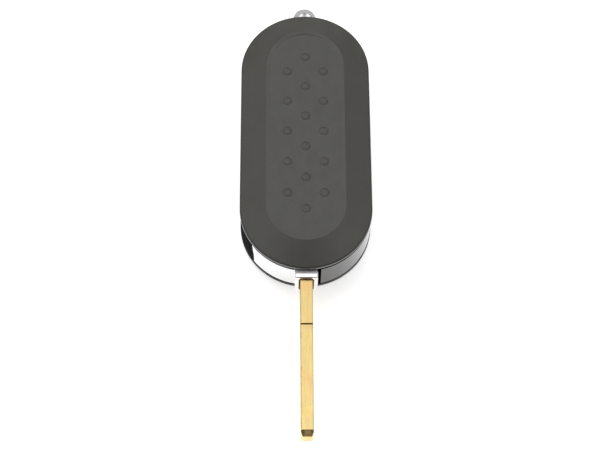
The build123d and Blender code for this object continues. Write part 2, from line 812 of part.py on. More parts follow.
# Contact strips: one under the cell, one against its side
contact_foot_x = wall_x + contact_wall_gap
foot_end = contact_foot_x + contact_foot
rise = battery_low - running_gap - contact_thickness
with BuildPart() as contact_minus:
    with BuildSketch(Plane.XZ.offset(-(battery_y - contact_offset))):
        Polygon(
            (contact_foot_x, board_top),
            (foot_end, board_top),
            (battery_x - battery_radius / 2, rise - contact_thickness),
            (battery_x - battery_radius / 4, rise),
            (battery_x - battery_radius / 4, rise + contact_thickness),
            (battery_x - battery_radius / 2, rise),
            (foot_end, board_top + contact_thickness),
            (contact_foot_x, board_top + contact_thickness),
            align=None,
        )
    extrude(amount=contact_width / 2, both=True)
write(contact_minus, "contact_minus")

side_x = battery_x - sqrt(battery_radius**2 - (contact_offset - contact_width / 2) ** 2) - running_gap
contact_top = battery_high - contact_thickness
with BuildPart() as contact_plus:
    with BuildSketch(Plane.XZ.offset(-(battery_y + contact_offset))):
        Polygon(
            (contact_foot_x, board_top),
            (foot_end + contact_thickness, board_top),
            (foot_end + contact_thickness, battery_low),
            (side_x, battery_low + battery_height / 2),
            (foot_end + contact_thickness, contact_top),
            (foot_end, contact_top),
            (side_x - contact_thickness, battery_low + battery_height / 2),
            (foot_end, battery_low),
            (foot_end, board_top + contact_thickness),
            (contact_foot_x, board_top + contact_thickness),
            align=None,
        )
    extrude(amount=contact_width / 2, both=True)
write(contact_plus, "contact_plus")

# Quarter turn screw, reached through the blade slot when the blade is out
lock_head_x = slot_inner_x + running_gap
with BuildPart() as tray_lock_screw:
    with BuildSketch(Plane.YZ.offset(lock_head_x)):
        disc(lock_y, lock_z, lock_head_radius)
    extrude(amount=lock_head_height)
    with BuildSketch(Plane.YZ.offset(lock_head_x)):
        disc(lock_y, lock_z, lock_shank_radius)
    extrude(amount=cam_x - lock_head_x)
    with BuildSketch(Plane.YZ.offset(cam_x)):
        with Locations((lock_y, lock_z)):
            RectangleRounded(cam_width, cam_length, cam_width / 3)
    extrude(amount=cam_height)
    with BuildSketch(Plane.YZ.offset(lock_head_x)):
        with Locations((lock_y, lock_z)):
            Rectangle(2 * lock_head_radius, driver_slot_width)
    extrude(amount=driver_slot_depth, mode=Mode.SUBTRACT)
write(tray_lock_screw, "tray_lock_screw")

# Key ring lug: a rounded eye with a headed root held in the core
with BuildPart() as key_ring_lug:
    with BuildSketch(Plane.XY.offset(lug_low)):
        add(lug_area())
        disc(0, -near_y + lug_reach - lug_radius, lug_hole_radius, Mode.SUBTRACT)
    extrude(amount=lug_thickness)
    outer_eye = key_ring_lug.edges().filter_by(GeomType.CIRCLE)
    fillet(outer_eye.filter_by(lambda e: e.radius > lug_hole_radius + seam), lug_round)
write(key_ring_lug, "key_ring_lug")
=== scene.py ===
"""Looks of the flip key remote: materials, fine pieces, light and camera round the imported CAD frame."""

import json
import math
from functools import reduce

import bmesh
import bpy
from mathutils import Matrix, Vector


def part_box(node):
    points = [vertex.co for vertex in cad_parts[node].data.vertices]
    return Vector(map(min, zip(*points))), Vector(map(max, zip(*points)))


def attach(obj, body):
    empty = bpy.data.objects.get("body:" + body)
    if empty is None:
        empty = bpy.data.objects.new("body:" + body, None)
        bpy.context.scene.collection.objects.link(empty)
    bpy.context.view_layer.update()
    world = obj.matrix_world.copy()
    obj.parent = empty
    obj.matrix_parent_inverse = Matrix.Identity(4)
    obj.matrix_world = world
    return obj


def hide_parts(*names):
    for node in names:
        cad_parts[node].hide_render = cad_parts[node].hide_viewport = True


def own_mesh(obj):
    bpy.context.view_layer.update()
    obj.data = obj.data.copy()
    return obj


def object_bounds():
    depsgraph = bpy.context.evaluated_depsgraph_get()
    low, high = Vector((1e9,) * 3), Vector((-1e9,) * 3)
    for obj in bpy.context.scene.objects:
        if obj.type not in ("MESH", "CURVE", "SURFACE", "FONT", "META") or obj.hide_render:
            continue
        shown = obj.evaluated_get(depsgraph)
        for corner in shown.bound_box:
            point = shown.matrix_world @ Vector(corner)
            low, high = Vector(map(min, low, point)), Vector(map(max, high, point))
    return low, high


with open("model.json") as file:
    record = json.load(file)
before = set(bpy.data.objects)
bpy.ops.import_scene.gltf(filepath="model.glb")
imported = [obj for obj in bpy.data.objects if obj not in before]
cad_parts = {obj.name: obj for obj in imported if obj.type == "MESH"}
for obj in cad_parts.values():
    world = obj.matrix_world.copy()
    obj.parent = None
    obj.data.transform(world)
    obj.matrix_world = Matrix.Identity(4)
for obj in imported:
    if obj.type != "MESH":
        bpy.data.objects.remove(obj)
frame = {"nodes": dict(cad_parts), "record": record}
cad_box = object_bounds()
nodes = frame["nodes"]

# Sizes in metres like the frame, and from it where it has them
MM = 0.001
blade_low, blade_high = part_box("blade")
blade_middle = (blade_low.z + blade_high.z) / 2
collar_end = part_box("blade_hub")[0].y
notch_y = collar_end - 12.3 * MM
case_half_width = cad_box[1][0]
case_half_length = 38.3 * MM
straight_half = case_half_length - case_half_width
band_top = 12.45 * MM
# Top of the skirt's lower part, which is coloured near black as painted shade
skirt_shade_top = 13.45 * MM
skirt_top = 14.0 * MM
panel_level = 16.6 * MM
panel_foot = 9.1 * MM
panel_head = 10.4 * MM


# Node material helpers
def grey(level):
    return (level, level, level)


class Look:
    """A node material on a Principled shader, with short calls for the usual nodes."""

    def __init__(self, name, color=(0.5, 0.5, 0.5), metallic=0.0, roughness=0.5, **inputs):
        self.material = bpy.data.materials.new(name)
        self.material.use_nodes = True
        self.tree = self.material.node_tree
        self.shader = self.tree.nodes["Principled BSDF"]
        self.shader.inputs["Base Color"].default_value = (*color, 1)
        self.shader.inputs["Metallic"].default_value = metallic
        self.shader.inputs["Roughness"].default_value = roughness
        for key, value in inputs.items():
            self.shader.inputs[key.replace("_", " ")].default_value = value
        self.place = self.tree.nodes.new("ShaderNodeTexCoord").outputs["Object"]

    def link(self, output, target):
        self.tree.links.new(output, target)

    def set(self, socket, output):
        self.link(output, self.shader.inputs[socket])

    def noise(self, scale, detail=3.0, roughness=0.55, stretch=(1, 1, 1), offset=(0, 0, 0)):
        mapping = self.tree.nodes.new("ShaderNodeMapping")
        mapping.inputs["Scale"].default_value = stretch
        mapping.inputs["Location"].default_value = offset
        self.link(self.place, mapping.inputs["Vector"])
        node = self.tree.nodes.new("ShaderNodeTexNoise")
        node.inputs["Scale"].default_value = scale
        node.inputs["Detail"].default_value = detail
        node.inputs["Roughness"].default_value = roughness
        self.link(mapping.outputs["Vector"], node.inputs["Vector"])
        return node.outputs["Fac"]

    def cells(self, scale):
        node = self.tree.nodes.new("ShaderNodeTexVoronoi")
        node.inputs["Scale"].default_value = scale
        self.link(self.place, node.inputs["Vector"])
        return node.outputs["Distance"]

    def component(self, vector, letter):
        node = self.tree.nodes.new("ShaderNodeSeparateXYZ")
        self.link(vector, node.inputs[0])
        return node.outputs[letter]

    def axis(self, letter):
        """One coordinate of the place on the object."""
        return self.component(self.place, letter)

    def facing(self, letter):
        """How far the surface faces along an axis, from -1 to 1."""
        return self.component(self.tree.nodes.new("ShaderNodeNewGeometry").outputs["Normal"], letter)

    def math(self, operation, a, b=0.0, clamp=False):
        node = self.tree.nodes.new("ShaderNodeMath")
        node.operation = operation
        node.use_clamp = clamp
        for socket, value in zip(node.inputs, (a, b)):
            if isinstance(value, (int, float)):
                socket.default_value = value
            else:
                self.link(value, socket)
        return node.outputs[0]

    def plus(self, *values):
        return reduce(lambda a, b: self.math("ADD", a, b), values)

    def times(self, *values):
        return reduce(lambda a, b: self.math("MULTIPLY", a, b), values)

    def away(self, letter, level=0.0):
        """Distance from a level on one axis, to either side."""
        return self.math("ABSOLUTE", self.plus(self.axis(letter), -level))

    def span(self, value, low, high, to_low=0.0, to_high=1.0):
        """A soft step: to_low at low, to_high at high."""
        node = self.tree.nodes.new("ShaderNodeMapRange")
        node.interpolation_type = "SMOOTHSTEP"
        for socket, number in zip(node.inputs[1:5], (low, high, to_low, to_high)):
            socket.default_value = number
        self.link(value, node.inputs[0])
        return node.outputs[0]

    def between(self, noise, to_low, to_high):
        """A number between two, over the middle of a noise's range."""
        return self.span(noise, 0.3, 0.7, to_low, to_high)

    def ramp(self, value, *stops):
        node = self.tree.nodes.new("ShaderNodeValToRGB")
        while len(node.color_ramp.elements) < len(stops):
            node.color_ramp.elements.new(0.5)
        for element, (place, color) in zip(node.color_ramp.elements, stops):
            element.position = place
            element.color = (*color, 1)
        self.link(value, node.inputs["Fac"])
        return node.outputs["Color"]

    def tones(self, noise, first, last, low=0.3, high=0.7):
        """A colour between two, over the middle of a noise's range."""
        return self.ramp(noise, (low, first), (high, last))

    def mix(self, factor, a, b, blend="MIX"):
        node = self.tree.nodes.new("ShaderNodeMix")
        node.data_type = "RGBA"
        node.blend_type = blend
        for socket, value in zip((node.inputs[0], node.inputs[6], node.inputs[7]), (factor, a, b)):
            if isinstance(value, float):
                socket.default_value = value
            elif isinstance(value, tuple):
                socket.default_value = (*value, 1)
            else:
                self.link(value, socket)
        return node.outputs[2]

    def tinted(self, *colors):
        """The colours multiplied."""
        return reduce(lambda a, b: self.mix(1.0, a, b, "MULTIPLY"), colors)

    def bump(self, height, depth, strength, under=None):
        node = self.tree.nodes.new("ShaderNodeBump")
        node.inputs["Strength"].default_value = strength
        node.inputs["Distance"].default_value = depth
        self.link(height, node.inputs["Height"])
        if under is not None:
            self.link(under, node.inputs["Normal"])
        self.set("Normal", node.outputs["Normal"])
        return node.outputs["Normal"]

    def level_out(self, normal, amount):
        """Shade a surface as if it were turned part of the way towards the sky."""
        node = self.tree.nodes.new("ShaderNodeMix")
        node.data_type = "VECTOR"
        node.inputs[5].default_value = (0, 0, 1)
        self.link(amount, node.inputs[0])
        self.link(normal, node.inputs[4])
        self.set("Normal", node.outputs[1])


def hollow_mask(look):
    """Where the coat softens the cover: the panel's step, and the dimple walls that face right or front."""
    past_straight = look.math("MAXIMUM", look.plus(look.away("Y"), -straight_half), 0.0)
    squares = [look.math("POWER", distance, 2.0) for distance in (look.away("X"), past_straight)]
    from_middle_line = look.math("SQRT", look.plus(*squares))
    past_foot = look.span(from_middle_line, panel_foot - 0.1 * MM, panel_foot + 0.1 * MM)
    before_head = look.span(from_middle_line, panel_head + 0.1 * MM, panel_head - 0.05 * MM)
    less_from, least_from = 25.0 * MM, 31.0 * MM
    step_share = look.span(look.axis("Y"), less_from, least_from, to_low=0.7, to_high=0.25)
    on_panel = look.plus(1.0, look.times(past_foot, -1.0))
    below_panel = look.span(look.axis("Z"), panel_level - 0.02 * MM, panel_level - 0.05 * MM)
    lean = look.plus(look.times(look.facing("X"), 0.6), look.times(look.facing("Y"), -0.3))
    dimple_share = look.math("ADD", lean, 0.33, clamp=True)
    step = look.times(past_foot, before_head, step_share)
    return look.plus(step, look.times(on_panel, below_panel, dimple_share))


def soft_black():
    """Soft touch coat with a painted shade band on the shoulder over a shining skirt, and painted shade on
    the skirt's lower part below it.
    """
    look = Look("soft_touch_black", roughness=0.42, Specular_IOR_Level=0.6)
    grain = look.noise(5200, detail=2.0, roughness=0.6)
    handled = look.noise(420, detail=4.0, roughness=0.6, stretch=(1, 0.5, 1))
    color = look.tones(grain, (0.053, 0.052, 0.046), (0.070, 0.068, 0.061))
    cloudy = look.tones(look.noise(140), grey(0.92), grey(1.0))
    # Painted shade: a band round the shoulder at the skirt's top is coloured at half brightness
    bend = look.span(look.axis("Z"), skirt_top - 0.2 * MM, skirt_top + 0.4 * MM)
    plain, shoulder_shade_grey = grey(1.0), grey(0.5)
    painted_shoulder_shade = look.ramp(bend, (0.2, plain), (0.4, shoulder_shade_grey), (0.6, shoulder_shade_grey), (0.9, plain))
    # Painted shade: the skirt's lower part is coloured near black, and made rougher with no specular
    under = look.span(look.axis("Z"), skirt_shade_top + 0.07 * MM, skirt_shade_top - 0.07 * MM)
    lower_skirt_painted_shade = (0.01, 0.01, 0.009)
    look.set("Base Color", look.mix(under, look.tinted(color, cloudy, painted_shoulder_shade), lower_skirt_painted_shade))
    skirt = look.span(look.axis("Z"), skirt_top, skirt_top - 0.3 * MM)
    rough = look.between(handled, 0.37, 0.47)
    look.set("Roughness", look.plus(rough, look.times(skirt, -0.2), look.times(under, 0.5)))
    shine = look.plus(look.times(skirt, 1.8), 0.6)
    look.set("Specular IOR Level", look.times(shine, look.plus(1.0, look.times(under, -1.0))))
    grained = look.bump(grain, depth=0.02 * MM, strength=0.3)
    look.level_out(grained, hollow_mask(look))
    return look.material


def front_black():
    """Satin plastic of the button face."""
    look = Look("satin_front_black", roughness=0.45, Specular_IOR_Level=0.35)
    grain = look.noise(5600, detail=2.0, roughness=0.6)
    look.set("Base Color", look.tones(grain, grey(0.014), grey(0.022)))
    look.set("Roughness", look.between(look.noise(300), 0.38, 0.5))
    look.bump(grain, depth=0.02 * MM, strength=0.3)
    return look.material


def gloss_black():
    """Piano gloss with haze and dust on the band, dull on the neck above it."""
    shine, coat = 0.5, 0.45
    black = (0.012, 0.012, 0.013)
    look = Look("piano_gloss_black", black, roughness=0.09, Coat_Weight=coat, Coat_Roughness=0.04)
    haze = look.noise(600, detail=4.0, roughness=0.6, stretch=(1, 1, 0.25))
    dust = look.noise(9000, detail=1.0)
    look.set("Base Color", look.tones(dust, (0.011, 0.011, 0.012), grey(0.03), low=0.72, high=0.8))
    gloss = look.span(haze, 0.35, 0.75, to_low=0.06, to_high=0.16)
    neck = look.span(look.axis("Z"), band_top - 0.05 * MM, band_top + 0.05 * MM)
    look.set("Roughness", look.plus(gloss, look.times(neck, 0.6)))
    look.set("Specular IOR Level", look.plus(shine, look.times(neck, -0.45)))
    look.set("Coat Weight", look.plus(coat, look.times(neck, -coat)))
    look.bump(look.noise(900, detail=2.0), depth=0.008 * MM, strength=0.3)
    return look.material


def key_black():
    """Satin plastic of the keys, worn smoother in patches."""
    look = Look("satin_key_black", roughness=0.45)
    grain = look.noise(7000, detail=2.0)
    look.set("Base Color", look.tones(grain, (0.035, 0.035, 0.037), (0.05, 0.05, 0.052)))
    look.set("Roughness", look.between(look.noise(350), 0.34, 0.52))
    look.bump(grain, depth=0.02 * MM, strength=0.3)
    return look.material


def metal(name, first, last, rough, scale, stretch, depth):
    """A metal between two colours, with fine lines along the axes whose stretch is small."""
    look = Look(name, last, metallic=1.0, roughness=rough[0])
    lines = look.noise(scale, detail=4.0, roughness=0.6, stretch=stretch)
    look.set("Base Color", look.tones(look.noise(500), first, last))
    look.set("Roughness", look.between(lines, *rough))
    look.bump(lines, depth=depth, strength=0.3)
    return look.material


def chrome(name, low, high):
    """Bright plating between two roughness values, satin on top from just outside the cover inwards."""
    look = Look(name, (0.9, 0.9, 0.91), metallic=1.0, roughness=low)
    smear = look.noise(420, detail=4.0, roughness=0.6)
    hair = look.noise(2600, roughness=0.6, stretch=(1, 0.08, 1))
    look.set("Base Color", look.tones(smear, (0.86, 0.865, 0.875), (0.94, 0.94, 0.945)))
    upward = look.span(look.facing("Z"), 0.8, 0.95)
    by_cover = look.span(look.axis("Y"), -case_half_length - 0.65 * MM, -case_half_length - 0.5 * MM)
    polish = look.span(smear, 0.3, 0.75, to_low=low, to_high=high)
    look.set("Roughness", look.plus(polish, look.times(upward, by_cover, 0.6)))
    look.bump(hair, depth=0.004 * MM, strength=0.15)
    return look.material


def blade_brass():
    """Milled brass, paler towards the tip, with painted shade in the notch of both narrow edges."""
    look = Look("milled_brass", (0.85, 0.64, 0.27), metallic=1.0, roughness=0.3)
    along = look.noise(3000, detail=4.0, roughness=0.65, stretch=(1.0, 0.06, 1.0))
    across = look.noise(2600, detail=2.0, roughness=0.6, stretch=(0.15, 1.0, 0.15))
    blotch = look.noise(620, detail=4.0, roughness=0.6, stretch=(1, 0.5, 1))
    rosy = look.noise(260, detail=2.0, roughness=0.5, stretch=(1, 0.6, 1), offset=(0.3, 0.1, 0))
    gold = look.ramp(blotch, (0.3, (0.83, 0.63, 0.25)), (0.5, (0.98, 0.76, 0.32)), (0.72, (1.0, 0.85, 0.40)))
    paler = look.span(look.axis("Y"), collar_end - 2.0 * MM, collar_end - 38.0 * MM)
    shade = look.tones(paler, grey(0.93), grey(1.0), low=0.0, high=1.0)
    warm = look.tones(rosy, grey(1.0), (1.0, 0.88, 0.92), low=0.45)
    fine = look.tones(along, (0.88, 0.87, 0.84), grey(1.0), high=0.6)
    half_notch, half_edge = 0.27 * MM, 1.6 * MM
    below_notch, below_edge = 2.6 * MM, 3.27 * MM
    from_middle = look.away("Z", blade_middle)
    in_notch = look.times(
        look.math("LESS_THAN", look.away("Y", notch_y), half_notch),
        look.math("LESS_THAN", look.away("X"), half_edge),
        look.math("GREATER_THAN", from_middle, below_notch),
        look.math("LESS_THAN", from_middle, below_edge),
    )
    # Painted shade: the notch on the narrow edges is coloured dark brown
    painted_notch_shade = (0.22, 0.11, 0.03)
    look.set("Base Color", look.mix(in_notch, look.tinted(gold, shade, warm, fine), painted_notch_shade))
    look.set("Roughness", look.between(blotch, 0.24, 0.42))
    cross_lines = look.bump(across, depth=0.01 * MM, strength=0.25)
    look.bump(along, depth=0.012 * MM, strength=0.3, under=cross_lines)
    return look.material


def rubber():
    """Grey silicone of the pads."""
    look = Look("silicone_pad", roughness=0.7)
    grain = look.noise(4000)
    look.set("Base Color", look.tones(grain, (0.2, 0.2, 0.21), (0.27, 0.27, 0.28)))
    look.bump(grain, depth=0.02 * MM, strength=0.3)
    return look.material


def board_green():
    """Solder mask over a woven board."""
    look = Look("solder_mask_green", roughness=0.35, Coat_Weight=0.4, Coat_Roughness=0.15)
    weave = look.cells(2600)
    base = look.tones(weave, (0.014, 0.13, 0.055), (0.02, 0.16, 0.07), low=0.0, high=0.8)
    cloudy = look.tones(look.noise(300, detail=2.0), grey(0.9), grey(1.0))
    look.set("Base Color", look.tinted(base, cloudy))
    look.bump(weave, depth=0.01 * MM, strength=0.2)
    return look.material


def chip_black():
    """Moulded case of the chips."""
    look = Look("moulded_chip_black", roughness=0.5)
    grain = look.noise(9000, detail=2.0)
    look.set("Base Color", look.tones(grain, (0.018, 0.018, 0.019), (0.035, 0.035, 0.037)))
    look.bump(grain, depth=0.01 * MM, strength=0.4)
    return look.material


def ferrite():
    """Dull sintered bar of the antenna."""
    look = Look("ferrite_grey", roughness=0.6)
    grain = look.noise(6000)
    look.set("Base Color", look.tones(grain, (0.07, 0.065, 0.065), (0.12, 0.11, 0.11)))
    look.bump(grain, depth=0.02 * MM, strength=0.4)
    return look.material


def ceramic_tan():
    """Fired body of the capacitors."""
    look = Look("ceramic_tan", roughness=0.4)
    grain = look.noise(2500)
    look.set("Base Color", look.tones(grain, (0.45, 0.33, 0.22), (0.58, 0.45, 0.32)))
    look.bump(grain, depth=0.01 * MM, strength=0.2)
    return look.material


def icon_print():
    """Pale print of the symbols on the keys."""
    look = Look("icon_print_grey", (0.55, 0.55, 0.56), roughness=0.5)
    grain = look.noise(6000, detail=2.0)
    look.set("Base Color", look.tones(grain, (0.50, 0.50, 0.51), (0.62, 0.62, 0.63)))
    return look.material


looks = {
    "soft_black": soft_black(),
    "front_black": front_black(),
    "gloss_black": gloss_black(),
    "key_black": key_black(),
    "chrome": chrome("bright_chrome", low=0.03, high=0.1),
    "blade_brass": blade_brass(),
    "steel": metal(
        "turned_steel",
        (0.55, 0.55, 0.56),
        (0.66, 0.66, 0.67),
        rough=(0.18, 0.34),
        scale=3000,
        stretch=(1, 1, 0.1),
        depth=0.006 * MM,
    ),
    "spring_steel": metal(
        "drawn_spring_steel",
        (0.42, 0.42, 0.44),
        (0.55, 0.55, 0.57),
        rough=(0.22, 0.4),
        scale=4000,
        stretch=(0.3, 0.3, 1),
        depth=0.005 * MM,
    ),
    "switch_metal": metal(
        "stamped_metal",
        (0.62, 0.62, 0.61),
        (0.74, 0.74, 0.73),
        rough=(0.25, 0.42),
        scale=2500,
        stretch=(0.2, 1, 1),
        depth=0.005 * MM,
    ),
    "cell_steel": metal(
        "brushed_cell_steel",
        (0.66, 0.66, 0.67),
        (0.8, 0.8, 0.81),
        rough=(0.2, 0.36),
        scale=3500,
        stretch=(1, 0.06, 1),
        depth=0.005 * MM,
    ),
    "pad_rubber": rubber(),
    "board_green": board_green(),
    "chip_black": chip_black(),
    "ferrite": ferrite(),
    "ceramic_tan": ceramic_tan(),
}
worn_chrome = chrome("worn_chrome", low=0.2, high=0.3)
icon_grey = icon_print()
copper_wire = metal(
    "enamelled_copper",
    (0.55, 0.20, 0.08),
    (0.72, 0.30, 0.12),
    rough=(0.22, 0.36),
    scale=4000,
    stretch=(1, 0.2, 1),
    depth=0.004 * MM,
)

slots = {row["node"]: row["material_slot"] for row in frame["record"]["subparts"]}
for name, node in nodes.items():
    node.data.materials.clear()
    node.data.materials.append(looks[slots[name]])
nodes["key_ring_lug"].data.materials[0] = worn_chrome


# Fine pieces that ride on the CAD bodies
def add_piece(name, data, look, body):
    """Link a mesh or curve as a piece of the object, on a body, with one material."""
    data.materials.append(look)
    piece = bpy.data.objects.new(name, data)
    bpy.context.scene.collection.objects.link(piece)
    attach(piece, body)
    return piece


def finished(name, mesh, sharp=35):
    """A bmesh as mesh data, smooth but for its sharp edges."""
    bmesh.ops.recalc_face_normals(mesh, faces=mesh.faces)
    data = bpy.data.meshes.new(name)
    mesh.to_mesh(data)
    mesh.free()
    for face in data.polygons:
        face.use_smooth = True
    data.set_sharp_from_angle(angle=math.radians(sharp))
    return data


def centre(low, high, level):
    """The middle of a box as seen from above, at a level."""
    return Vector(((low[0] + high[0]) / 2, (low[1] + high[1]) / 2, level))


def arc(x, y, radius, start, end, steps=14):
    """Points on a circle from one angle to another, in degrees."""
    angles = [math.radians(start + (end - start) * step / steps) for step in range(steps + 1)]
    return [(x + radius * math.cos(a), y + radius * math.sin(a)) for a in angles]


def rounded(x0, x1, y0, y1, radius):
    """A rectangle with round corners, as a list of points."""
    left, right, low, high = x0 + radius, x1 - radius, y0 + radius, y1 - radius
    points = []
    for quarter, (x, y) in enumerate(((right, high), (left, high), (left, low), (right, low))):
        points += arc(x, y, radius, 90 * quarter, 90 * quarter + 90, steps=5)
    return points


def icon(key, outlines):
    """A thin raised symbol on a key's face, of outlines in millimetres, read from below with the blade up."""
    low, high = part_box(f"key_{key}")
    data = bpy.data.curves.new(f"icon_{key}", "CURVE")
    data.dimensions = "2D"
    data.fill_mode = "BOTH"
    data.extrude = 0.025 * MM
    data.bevel_depth = 0.02 * MM
    for outline in outlines:
        spline = data.splines.new("POLY")
        spline.points.add(len(outline) - 1)
        for point, (x, y) in zip(spline.points, outline):
            point.co = (x * MM, -y * MM, 0, 1)
        spline.use_cyclic_u = True
    piece = add_piece(f"icon_{key}", data, icon_grey, f"{key}_key")
    piece.location = centre(low, high, low[2])


def shackle(x, reach):
    """The bow of a padlock, its legs reach long above the body."""
    outer, inner = 1.3, 0.8
    bow = [(x + outer, 0)] + arc(x, reach, outer, 0, 180) + [(x - outer, 0)]
    return bow + [(x - inner, 0)] + arc(x, reach, inner, 180, 0) + [(x + inner, 0)]


def padlock(middle, shift, reach):
    """A padlock with its keyhole: closed with no shift, open where the bow is moved aside."""
    half_width, foot, top, corner = 2.0, -2.75, 0.05, 0.4
    hole_y, hole_radius, slit_y, slit_half = -1.1, 0.38, -2.0, 0.16
    body = rounded(middle - half_width, middle + half_width, foot, top, corner)
    keyhole = arc(middle, hole_y, hole_radius, -65, 245)
    keyhole += [(middle - slit_half, slit_y), (middle + slit_half, slit_y)]
    return [body, keyhole, shackle(middle + shift, reach)]


def open_boot():
    """A car from the side with its boot lid up."""
    axle, sill = 1.9, -1.3
    nose = [(-3.4, sill), (-3.5, -0.4), (-2.5, 0.0)]
    roof = [(-1.5, 1.1), (0.6, 1.2), (1.05, 0.95)]
    tail = [(1.6, 0.1), (3.3, 0.0), (3.4, sill)]
    arches = arc(axle, sill, 0.75, 0, 180) + arc(-axle, sill, 0.75, 0, 180)
    window = [(-1.65, 0.2), (-1.15, 0.8), (0.45, 0.85), (0.85, 0.2)]
    lid = [(1.2, 1.4), (1.4, 1.1), (3.4, 1.95), (3.25, 2.3)]
    wheels = [arc(x, sill - 0.05, 0.48, 0, 345, steps=22) for x in (-axle, axle)]
    return [nose + roof + tail + arches, window, lid] + wheels


def turned(mesh, rim, middle, steps=72):
    """Add a solid of revolution about an upright axis, from (radius, height) points that end on it."""
    rings = []
    for radius, height in rim:
        angles = [math.tau * step / steps for step in range(steps if radius else 1)]
        spots = [Vector((radius * math.cos(a), radius * math.sin(a), height)) for a in angles]
        rings.append([mesh.verts.new(Vector(middle) + spot) for spot in spots])
    for inner, outer in zip(rings, rings[1:]):
        for step in range(steps):
            after = (step + 1) % steps
            corners = [inner[step % len(inner)], inner[after % len(inner)]]
            corners += [outer[after % len(outer)], outer[step % len(outer)]]
            mesh.faces.new(list(dict.fromkeys(corners)))


def break_edges(mesh, edges, bevel):
    bmesh.ops.bevel(mesh, geom=edges, offset=bevel, segments=2, affect="EDGES", profile=0.5)


def prism(mesh, outline, low, high, bevel):
    """Add a plate between two levels from an outline, with its rims broken."""
    rings = [[mesh.verts.new((x, y, level)) for x, y in outline] for level in (low, high)]
    rims = [edge for ring in rings for edge in mesh.faces.new(ring).edges]
    for step, corner in enumerate(rings[0]):
        mesh.faces.new((rings[0][step - 1], corner, rings[1][step], rings[1][step - 1]))
    break_edges(mesh, rims, bevel)


def add_block(mesh, low, high, bevel):
    """A box between two corners, with its edges broken."""
    size = Vector(high) - Vector(low)
    middle = (Vector(high) + Vector(low)) / 2
    matrix = Matrix.Translation(middle) @ Matrix.Diagonal((*size, 1))
    made = bmesh.ops.create_cube(mesh, size=1, matrix=matrix)
    break_edges(mesh, list({edge for vert in made["verts"] for edge in vert.link_edges}), bevel)


def coin_cell():
    """The coin cell: a drawn can over a smaller cap, a sealing ring between them and a raised plus sign."""
    low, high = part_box("coin_battery")
    height = high[2] - low[2]
    tenth = (high[0] - low[0]) / 20
    cap = [(0, 0), (8.55, 0), (8.75, 0.08), (8.85, 0.25), (8.9, 0.55)]
    ring = [(9.05, 0.6), (9.2, 0.55), (9.25, 0.3)]
    can = [(9.35, 0.22), (9.6, 0.2), (9.85, 0.35), (10, 0.65)]
    top_rim = [(10, 0.35), (9.93, 0.15), (9.75, 0.03), (9.45, 0), (9.3, 0.04), (8.9, 0.06), (0, 0.06)]
    rim = [(r * tenth, z * tenth) for r, z in cap + ring + can]
    rim += [(r * tenth, height - z * tenth) for r, z in top_rim]
    mesh = bmesh.new()
    turned(mesh, rim, (0, 0, 0))
    long, short, foot = 1.1 * tenth, 0.16 * tenth, height - 0.06 * tenth
    for half_x, half_y in ((long, short), (short, long)):
        add_block(mesh, (-half_x, -half_y, foot), (half_x, half_y, height), 0.02 * MM)
    bmesh.ops.translate(mesh, verts=mesh.verts, vec=centre(low, high, low[2]))
    cell = add_piece("cell_can", finished("cell_can", mesh), looks["cell_steel"], "tray")
    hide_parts("coin_battery")


def coil_winding():
    """Enamelled wire wound round the ferrite bar."""
    low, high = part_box("antenna_coil")
    wire = 0.09 * MM
    pitch = 2.15 * wire
    margin = 1.5 * MM
    steps = 20
    squareness = 0.35
    run = high[0] - low[0] - 2 * margin
    turns = int(run / pitch)
    half_y = (high[1] - low[1]) / 2 + wire
    half_z = (high[2] - low[2]) / 2
    data = bpy.data.curves.new("antenna_winding", "CURVE")
    data.dimensions = "3D"
    data.bevel_depth = wire
    data.bevel_resolution = 2
    spline = data.splines.new("POLY")
    spline.points.add(turns * steps)
    for index, point in enumerate(spline.points):
        angle = math.tau * index / steps
        side, rise = math.cos(angle), math.sin(angle)
        x = low[0] + margin + run * index / (turns * steps)
        y = (low[1] + high[1]) / 2 + half_y * math.copysign(abs(side) ** squareness, side)
        z = (low[2] + high[2]) / 2 + half_z * math.copysign(abs(rise) ** squareness, rise)
        point.co = (x, y, z, 1)
    add_piece("antenna_winding", data, copper_wire, "fob")


def chip_legs(node, count, pitch):
    """Gull wing legs along the two long sides of a chip."""
    low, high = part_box(node)
    foot, thick, width = 0.55 * MM, 0.12 * MM, 0.3 * MM
    inner_knee, shoulder, knee = 0.24 * MM, 0.32 * MM, 0.42 * MM
    half_height = (high[2] - low[2]) / 2
    upper = [(0, half_height), (shoulder, half_height), (knee, thick), (knee + foot, thick)]
    lower = [(knee + foot, 0), (shoulder, 0), (inner_knee, half_height - thick), (0, half_height - thick)]
    profile = upper + lower
    first_x = (low[0] + high[0]) / 2 - pitch * (count - 1) / 2 - width / 2
    mesh = bmesh.new()
    for edge, outward in ((low[1], -1), (high[1], 1)):
        for leg in range(count):
            x = first_x + pitch * leg
            rings = []
            for side in (x, x + width):
                spots = [(side, edge + outward * out, low[2] + up) for out, up in profile]
                rings.append([mesh.verts.new(spot) for spot in spots])
            for first in range(len(profile)):
                second = (first + 1) % len(profile)
                mesh.faces.new((rings[0][first], rings[0][second], rings[1][second], rings[1][first]))
            mesh.faces.new(rings[0])
            mesh.faces.new(rings[1])
    add_piece(f"{node}_legs", finished(f"{node}_legs", mesh), looks["switch_metal"], "fob")


